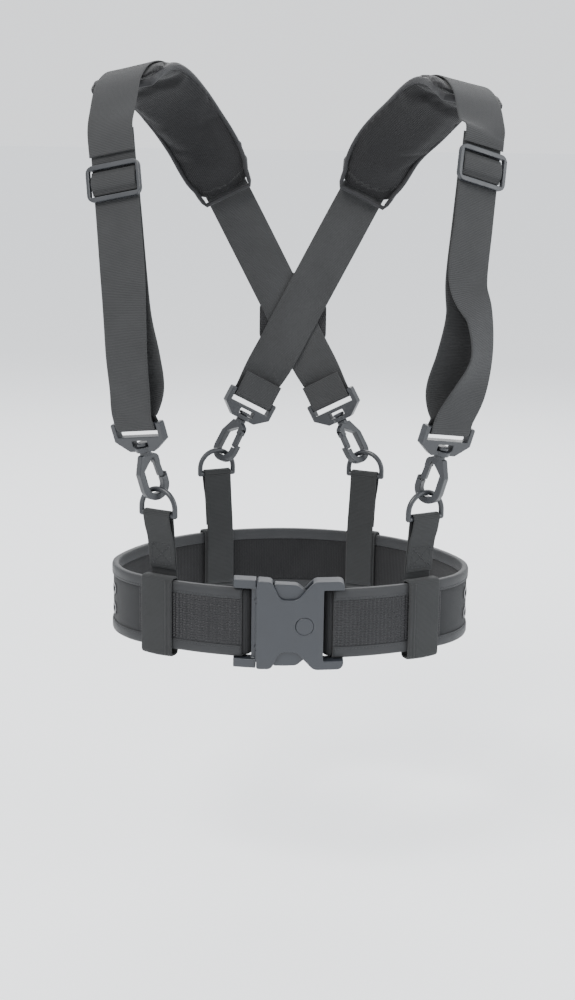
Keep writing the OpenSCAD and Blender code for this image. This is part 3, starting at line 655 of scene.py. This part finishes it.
def keeper(end, side):
    body = SIDES[side]
    out, inn, top, low = -4.3, 5.5, HALF_H + 1.7, -HALF_H - 5.5
    corner = 2.6
    path = []
    for cx, cz, start in ((out + corner, low + corner, 180), (out + corner, top - corner, 90),
                          (inn - corner, top - corner, 0), (inn - corner, low + corner, -90)):
        turn = [start + 90 - 18 * k for k in range(6)]
        facing = [(math.cos(math.radians(a)), math.sin(math.radians(a))) for a in turn]
        path += [((cx + corner * nd, cz + corner * nz), (nd, nz)) for nd, nz in facing]
    path.append(path[0])
    w = KEEPER_W / 2
    profile = [(-w, 0.3), (-w * 0.96, 0.85), (-w * 0.86, 0.95), (-w / 2, 0.85), (0, 0.85), (w / 2, 0.85),
               (w * 0.86, 0.95), (w * 0.96, 0.85), (w, 0.3), (w, -0.3), (w * 0.94, -0.8), (0, -0.8),
               (-w * 0.94, -0.8), (-w, -0.3)]
    rings = []
    for (d, z), (nd, nz) in path:
        ring = []
        for a, b in profile:
            sag = -0.8 * (1 - (a / w) ** 2) if z < low + corner else 0
            ring.append(station_point(end, side, a, d + nd * (b + 0.05), z + nz * (b + 0.05) + sag))
        rings.append(ring)
    loop = solid_mesh(f"keeper_loop_{end}_{side}", rings, belt_webbing, capped=False)
    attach(loop, body)
    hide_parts(f"keeper_{end}_{side}")
    ridge = []
    for i in range(25):
        z = top - 1.2 - (top - low - 2.0) * i / 24
        bulge = 0.25 * noise.noise(Vector((z * 0.12, 3.0 if side == "left" else 9.0, 0)))
        ridge.append([station_point(end, side, -w + 3.2 + a, out - 0.9 - b, z) for a, b in
                      ((-3.0, -0.4), (-2.9, 0.5 + bulge), (-1.7, 1.25 + bulge), (-0.5, 0.55), (0.3, 0.35),
                       (1.3, 1.05 + bulge), (2.5, 0.6), (2.8, -0.4))])
    seam = solid_mesh(f"keeper_seam_{end}_{side}", ridge, belt_webbing)
    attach(seam, body)


for end in STATIONS:
    for side in SIDES:
        keeper(end, side)

# ---------- Risers and rings ----------
# Narrow webbing sewn into each keeper behind the band, up round the straight bar of a moulded ring and back
# down, closed by a box of stitching with a cross in it.
RISER_W = 25
RING_Y, RING_BAR_Z, RING_R = -1.0, 82.0, 2.2
riser_webbing = cloth("riser webbing", (0.009, 0.0095, 0.0095), (0.029, 0.030, 0.031),
                      0.0012, 0.0009, 0.00025)


def riser(end, side):
    body = SIDES[side]
    t = 1.6
    y = 4.6 + 1.8 + 0.3 + t / 2 + RISER_W**2 / 8 / (STATIONS[end]["r"] - 12)
    loop_r = RING_R + 0.4 + t / 2
    over = [(RING_Y + loop_r * math.cos(math.radians(a)), RING_BAR_Z + loop_r * math.sin(math.radians(a)))
            for a in range(-20, 201, 22)]
    path = [(y, -18), (y, 0), (y, HALF_H + 2), (4.4, 60), (3, 72)] + over
    path += [(-1.8, 71), (2.2, 60), (y - 2.8, HALF_H + 8)]
    route = []
    for i, (inward, z) in enumerate(path):
        before, after = path[max(i - 1, 0)], path[min(i + 1, len(path) - 1)]
        di, dz = after[0] - before[0], after[1] - before[1]
        size = math.hypot(di, dz)
        normal = station_normal(end, side, 0, dz / size, -di / size)
        route.append((station_point(end, side, 0, inward, z), normal))
    strip = ribbon(f"riser_webbing_{end}_{side}", smooth_route(route, 3), RISER_W, t - 0.1, riser_webbing)
    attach(strip, body)
    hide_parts(f"riser_{end}_{side}")

    def sewn(along, z):
        inward = 2.2 + (y - 2.8 - 2.2) * (60 - z) / (60 - HALF_H - 8) - t / 2 - 0.05
        return (station_point(end, side, along, inward, z), station_normal(end, side, along, -1, -0.1))

    corners = [(-9, 57), (9, 57), (9, 40), (-9, 40), (-9, 57), (9, 40), (9, 57), (-9, 40)]
    for i, (a, b) in enumerate(zip(corners, corners[1:])):
        if i == 5:
            continue
        line = [sewn(a[0] + (b[0] - a[0]) * k / 6, a[1] + (b[1] - a[1]) * k / 6) for k in range(7)]
        seam = stitches(f"riser_stitch_{end}_{side}_{i}", line, 2.6, 0.28)
        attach(seam, body)
    moulded(f"ring_{end}_{side}", f"ring_moulding_{end}_{side}", hardware_plastic, f"ring_{end}_{side}",
            0.4, 3, 0.5)


for end in STATIONS:
    for side in SIDES:
        riser(end, side)

# ---------- Snap hooks, gates and swivel frames ----------
# Each hook turns on its shaft in a frame whose bar carries the harness webbing. A sprung gate shuts the
# hook's mouth behind the ring. All three are acetal mouldings.
for end in STATIONS:
    for side in SIDES:
        moulded(f"snap_hook_{end}_{side}", f"hook_moulding_{end}_{side}", hardware_plastic,
                f"snap_hook_{end}_{side}", 0.38, 5, 0.5)
        moulded(f"gate_{end}_{side}", f"gate_lever_{end}_{side}", hardware_plastic, f"gate_{end}_{side}",
                0.35, 3, 0.6)
        moulded(f"swivel_frame_{end}_{side}", f"frame_moulding_{end}_{side}", hardware_plastic, SIDES[side],
                0.42, 4, 0.5)

# ---------- Front straps ----------
# One length of ribbed webbing each side: from the shoulder straight down, round the swivel frame's bar and up
# again behind itself to the slider's middle bar.
harness_webbing = cloth("harness webbing", (0.011, 0.0115, 0.0115), (0.041, 0.0415, 0.043),
                        0.00125, 0.0008, 0.0003)
STRAP_W, STRAP_T = 38.0, 1.5
RING_HALF = 16.0
FRAME_BAR_Z, WRAP_R = 54.6, 2.6 + 0.3 + 0.75


def chain_vector(end, v):
    out, aside = (math.radians(a) for a in STATIONS[end]["lean"])
    x, y, z = v
    x, z = x * math.cos(aside) + z * math.sin(aside), z * math.cos(aside) - x * math.sin(aside)
    return Vector((x, y * math.cos(out) - z * math.sin(out), y * math.sin(out) + z * math.cos(out)))


def chain_direction(end, side, v):
    a = -math.radians(STATIONS[end]["angle"])
    v = chain_vector(end, v)
    turned = (v.x * math.cos(a) - v.y * math.sin(a), v.x * math.sin(a) + v.y * math.cos(a), v.z)
    return mirrored(turned, end, side)


def chain_point(end, side, p):
    s = STATIONS[end]
    aside = math.radians(s["lean"][1])
    foot = Vector((RING_HALF * math.sin(aside), RING_Y, RING_BAR_Z + 5 + RING_HALF * math.cos(aside)))
    local = chain_vector(end, p) + foot - Vector((0, s["r"], 0))
    a = -math.radians(s["angle"])
    turned = (local.x * math.cos(a) - local.y * math.sin(a),
              local.x * math.sin(a) + local.y * math.cos(a) + s["centre"], local.z)
    return mirrored(turned, end, side)


def wrap(end, side):
    """Half a turn round the swivel frame's bar, from the outer side under it to the inner side."""
    route = []
    for a in (0, -45, -90, -135, -180):
        back, up = -math.cos(math.radians(a)), math.sin(math.radians(a))
        route.append((chain_point(end, side, (0, WRAP_R * back, FRAME_BAR_Z + WRAP_R * up)),
                      chain_direction(end, side, (0, back, up))))
    return route


SLIDE_FOOT = Vector((-140, -68, 344))
SLIDE_UP = Vector((-11.5, 34.6, 110)).normalized()
STRAP_FACES = {"left": Vector((-0.36, -0.88, 0.3)), "right": Vector((-0.55, -0.78, 0.3))}
LAYER = STRAP_T / 2 + 0.15 + 0.2
SLIDER_Z = {"left": 344, "right": 358}
SHOULDER_DROP = 8


def dropped(p):
    return Vector((p[0], p[1], p[2] - SHOULDER_DROP * max(0, min(1, (p[2] - 385) / 20))))


def on_side(route, side):
    if side == "left":
        return [(Vector(p), Vector(n)) for p, n in route]
    flip = Matrix.Scale(-1, 3, (1, 0, 0))
    return [(flip @ Vector(p), flip @ Vector(n)) for p, n in route]


def stretch(z, out, side):
    faces = SLIDE_UP.cross(STRAP_FACES[side]).cross(SLIDE_UP).normalized()
    return (SLIDE_FOOT + SLIDE_UP * (z - SLIDE_FOOT.z) / SLIDE_UP.z + faces * out, faces)


def slanted(x, y):
    return Vector((x, y, 0)).normalized()


SHOULDER = [
    ((-144, -45, 399), (-0.3, -0.72, 0.62)), ((-141.5, -20, 421), (-0.26, -0.35, 0.9)),
    ((-134, 11, 432), (-0.2, 0.05, 0.97)), ((-122, 43, 428), (-0.24, 0.42, 0.87)),
    ((-103, 73, 407), (-0.2, 0.72, 0.66)), ((-80.5, 95, 372), (-0.1, 0.88, 0.4)),
    ((-58.5, 104, 330), (0, 0.97, 0.22)),
]
OUTER_RUN = {
    "left": [((-131.5, -95.5, 240), slanted(-0.42, -0.91)), ((-130.5, -94, 210), slanted(-0.46, -0.89)),
             ((-128.6, -90.5, 184), slanted(-0.49, -0.87))],
    "right": [((143, -97, 246), slanted(0.8, -0.6)), ((146, -95, 216), slanted(0.84, -0.54)),
              ((138, -91, 187), slanted(0.66, -0.75))],
}
INNER_RUN = {
    "left": [((-119, -81, 186), slanted(-0.4, -0.92)), ((-122, -86.5, 210), slanted(-0.34, -0.94)),
             ((-128, -91, 240), slanted(-0.34, -0.94))],
    "right": [((121, -80, 186), slanted(0.42, -0.91)), ((127, -84, 214), slanted(0.5, -0.86)),
              ((131.5, -88.5, 246), slanted(0.6, -0.8))],
}


def chain_station(end, side, p, v):
    return (chain_point(end, side, p), chain_direction(end, side, v))


def turned(route):
    return [(Vector(p), -Vector(n)) for p, n in route]


def shoulder(side):
    return [(dropped(p) if side == "right" else Vector(p), Vector(n)) for p, n in SHOULDER]


def lifted(route, out):
    return [(Vector(p) + Vector(n).normalized() * out, Vector(n).normalized()) for p, n in route]


def front_strap(side):
    z = SLIDER_Z[side]
    route = on_side([stretch(h, LAYER + more, side) for h, more in
                     ((382, 0), (z + 10, 0), (z - 14, 0), (316, 0), (272, 0.7))], side)
    route += OUTER_RUN[side]
    route.append(chain_station("front", side, (0, -WRAP_R, FRAME_BAR_Z + 3 * WRAP_R), (0, -1, 0)))
    route += wrap("front", side)
    route.append(chain_station("front", side, (0, WRAP_R, FRAME_BAR_Z + 3 * WRAP_R), (0, 1, 0)))
    route += turned(INNER_RUN[side])
    route += turned(on_side([stretch(h, -LAYER - more, side) for h, more in
                             ((272, 1.2), (316, 0.5), (z - 15, 0.1), (z - 2, 0.1))], side))
    strap = ribbon(f"strap_front_{side}", smooth_route(route, 8), STRAP_W, STRAP_T, harness_webbing)
    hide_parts(f"front_strap_{side}")
    if side == "left":
        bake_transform(strap)
    else:
        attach(strap, ROOT)


for side in SIDES:
    front_strap(side)

# ---------- Sliders ----------
# A moulded three-bar glide on each front strap. The strap's own webbing humps over its middle bar, and the
# hump goes with the glide as it is moved to fit the wearer.
for side in SIDES:
    z = SLIDER_Z[side]
    moulded(f"slider_{side}", f"slider_moulding_{side}", hardware_plastic, f"slider_{side}",
            0.4, 4, 0.5)
    hump = on_side([stretch(z + up, LAYER + out, side) for up, out in
                    ((8.6, 1.9), (6.4, 2.5), (3.8, 4.1), (0, 4.6), (-3.8, 4.1), (-6.4, 2.5), (-8.6, 1.9))],
                   side)
    fold = ribbon(f"slider_hump_{side}", smooth_route(hump, 5), STRAP_W - 0.2, STRAP_T, harness_webbing)
    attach(fold, f"slider_{side}")
    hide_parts(f"slider_fold_{side}")

# ---------- Shoulder webbings ----------
# Wider webbing over each pad, across the back and down to the other side's rear frame. Its front end is sewn
# over the front strap just above the slider.
CROSS_Z, CROSS_Y = 218, 108
shoulder_cloth = cloth("shoulder webbing", (0.012, 0.0125, 0.0125), (0.045, 0.0455, 0.047),
                       0.00125, 0.0008, 0.0003)


def back_line(z, out):
    slope = 0.12 if z < CROSS_Z else 0.06 if z == CROSS_Z else 0
    return ((-(z - CROSS_Z) * math.tan(math.radians(STATIONS["rear"]["lean"][1])),
             CROSS_Y + out - 0.12 * max(0, CROSS_Z - z), z), Vector((0, 1, -slope)).normalized())


def shoulder_route(side):
    out, far = (1.3, "right") if side == "left" else (-1.3, "left")
    end_z = SLIDER_Z[side] + 14.5 + (6 if side == "left" else 2)
    over = [stretch(end_z, 3 * LAYER + 0.3, side), stretch(384, 3 * LAYER + 0.3, side)]
    over += lifted(shoulder(side), LAYER + 0.3) + [back_line(z, out) for z in (285, 250, CROSS_Z, 190)]
    route = on_side(over, side) + [chain_station("rear", far, (0, -WRAP_R, FRAME_BAR_Z + 10), (0, -1, 0))]
    route += wrap("rear", far)
    return route + [chain_station("rear", far, (0, WRAP_R - 0.3, FRAME_BAR_Z + up), (0, 1, 0))
                    for up in (9, 20)]


for side in SIDES:
    webbing = ribbon(f"webbing_shoulder_{side}", smooth_route(shoulder_route(side), 8), STRAP_W + 1, STRAP_T,
                     shoulder_cloth)
    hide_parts(f"shoulder_webbing_{side}")
    if side == "right":
        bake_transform(webbing)
    else:
        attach(webbing, ROOT)

# ---------- Shoulder pads ----------
# Foam in black cloth sewn under each webbing from the collarbone to the back. Air pressure blows the cover up
# between its bound edges, and the webbing presses a shallow channel along its middle.
pad_cloth = cloth("pad cloth", (0.005, 0.005, 0.0055), (0.015, 0.015, 0.016), 0.0016, 0.0016, 0.0004,
                  roughness=0.9, sheen=0.12, crown_share=0.7)
pad_tape = cloth("pad edge tape", (0.008, 0.008, 0.009), (0.024, 0.024, 0.026), 0.0008, 0.0008, 0.0002,
                 roughness=0.6)


PAD_SKIN, PAD_SHRINK, PAD_SWELL = 0.005, 0.0012, 0.005
CHANNEL_HALF, CHANNEL_EDGE, CHANNEL_TOP = 25, 5, -0.3
RIM_DROP = 5.6


def pad_frames(side):
    """Frames along the line the pad hangs from: place, ahead, sideways, out, length from its front end."""
    route = smooth_route(on_side(shoulder(side)[1:], side), 8)
    frames, length = [], 0.0
    for i, (p, normal) in enumerate(route):
        before, after = route[max(i - 1, 0)][0], route[min(i + 1, len(route) - 1)][0]
        ahead = (after - before).normalized()
        across = normal.cross(ahead).normalized()
        length += (p - route[i - 1][0]).length if i else 0
        frames.append((p, ahead, across, ahead.cross(across), length))
    return frames


def in_frame(v, frames):
    """Where a point lies along, across and out from the pad's line."""
    p, ahead, across, out, length = min(frames, key=lambda f: (v - f[0]).length_squared)
    offset = v - p
    return length + offset.dot(ahead), offset.dot(across), offset.dot(out), out


def blown_up(piece):
    start = [v.co.copy() for v in piece.data.vertices]
    air = piece.modifiers.new("air", "CLOTH")
    air.settings.use_pressure = True
    air.settings.uniform_pressure_force = 4
    air.settings.effector_weights.gravity = 0
    air.point_cache.frame_start, air.point_cache.frame_end = 1, 20
    for number in range(1, 21):
        bpy.context.scene.frame_set(number)
    swollen = bpy.data.meshes.new_from_object(piece.evaluated_get(bpy.context.evaluated_depsgraph_get()))
    piece.modifiers.clear()
    bpy.context.scene.frame_set(1)
    for vertex, was in zip(swollen.vertices, start):
        moved = vertex.co - was
        if moved.length > PAD_SWELL:
            vertex.co = was + moved.normalized() * PAD_SWELL
    piece.data = swollen


def shoulder_pad(side):
    frames = pad_frames(side)
    pad = bpy.data.objects.new(f"pad_{side}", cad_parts[f"shoulder_pad_{side}"].data.copy())
    bpy.context.scene.collection.objects.link(pad)
    skin = pad.modifiers.new("skin", "REMESH")
    skin.mode = "VOXEL"
    skin.voxel_size = PAD_SKIN
    even = bpy.data.meshes.new_from_object(pad.evaluated_get(bpy.context.evaluated_depsgraph_get()))
    pad.modifiers.clear()
    pad.data = even
    for vertex in even.vertices:
        vertex.co -= vertex.normal * PAD_SHRINK
    blown_up(pad)
    fine = pad.modifiers.new("fine", "SUBSURF")
    fine.levels = 1
    shaped = bpy.data.meshes.new_from_object(pad.evaluated_get(bpy.context.evaluated_depsgraph_get()))
    pad.modifiers.clear()
    pad.data = shaped
    spots, outline = [], []
    for vertex in shaped.vertices:
        along, aside, high, out = in_frame(vertex.co / MM, frames)
        outline.append((along, aside))
        press = max(0, min(1, (CHANNEL_HALF - abs(aside)) / CHANNEL_EDGE))
        if press > 0 and high > CHANNEL_TOP:
            vertex.co += out * (CHANNEL_TOP - high) * press * MM
        spots.append((along * MM, (aside if high > -5 else 60 - aside) * MM))
    layer = shaped.uv_layers.new(name="UVMap") if not shaped.uv_layers else shaped.uv_layers[0]
    layer.name = "UVMap"
    for loop in shaped.loops:
        layer.data[loop.index].uv = spots[loop.vertex_index]
    shaped.materials.clear()
    shaped.materials.append(pad_cloth)
    shaped.polygons.foreach_set("use_smooth", [True] * len(shaped.polygons))
    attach(pad, ROOT)
    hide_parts(f"shoulder_pad_{side}")

    rows = []
    for p, ahead, across, out, length in frames:
        near = [aside for along, aside in outline if abs(along - length) < 4]
        if near and max(near) - min(near) > 12:
            rows.append((p, across, out, max(near) - 1.0, min(near) + 1.0))
    rim = []
    for edge, order in ((3, range(len(rows))), (4, range(len(rows) - 1, -1, -1))):
        for i in order:
            p, across, out = rows[i][:3]
            some = [row[edge] for row in rows[max(0, i - 3): i + 4]]
            rim.append((p + across * sum(some) / len(some) - out * RIM_DROP, out))
    rings = []
    for i, (p, out) in enumerate(rim):
        ahead = (rim[(i + 1) % len(rim)][0] - rim[i - 1][0]).normalized()
        aside = ahead.cross(out).normalized()
        rings.append([p + aside * 1.9 * math.cos(math.tau * k / 10) + out * 3.2 * math.sin(math.tau * k / 10)
                      for k in range(10)])
    rings.append(rings[0])
    rim_tape = solid_mesh(f"pad_rim_{side}", rings, pad_tape, capped=False)
    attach(rim_tape, ROOT)


for side in SIDES:
    shoulder_pad(side)

# ---------- Cross patch ----------
# A plate of pebbled synthetic leather sewn over the place where the two webbings cross, with one line of
# stitching inside its edge.
patch_skin = cloth("pebbled patch", (0.008, 0.008, 0.0085), (0.022, 0.022, 0.024), 0.0021, 0.0017, 0.0004,
                   roughness=0.5, sheen=0.0, crown_share=0.8)
patch = moulded("cross_patch", "back_patch", patch_skin, ROOT, 0.5, 4, 0.6)
layer = patch.data.uv_layers.new(name="UVMap")
for loop in patch.data.loops:
    place = patch.data.vertices[loop.vertex_index].co
    layer.data[loop.index].uv = (place.x, place.z)
PATCH_FACE = 108 + 1.3 + 0.75 + 3.4
corners = [(0, 40), (25.5, 12), (25.5, -12), (0, -40), (-25.5, -12), (-25.5, 12), (0, 40)]
line = []
for (x0, z0), (x1, z1) in zip(corners, corners[1:]):
    for k in range(6):
        f = k / 6
        line.append(((x0 + (x1 - x0) * f, PATCH_FACE, CROSS_Z + z0 + (z1 - z0) * f), (0, 1, 0)))
line.append(((0, PATCH_FACE, CROSS_Z + 40), (0, 1, 0)))
patch_seam = stitches("patch_seam", line, 3.4, 0.36, 0.05)
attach(patch_seam, ROOT)
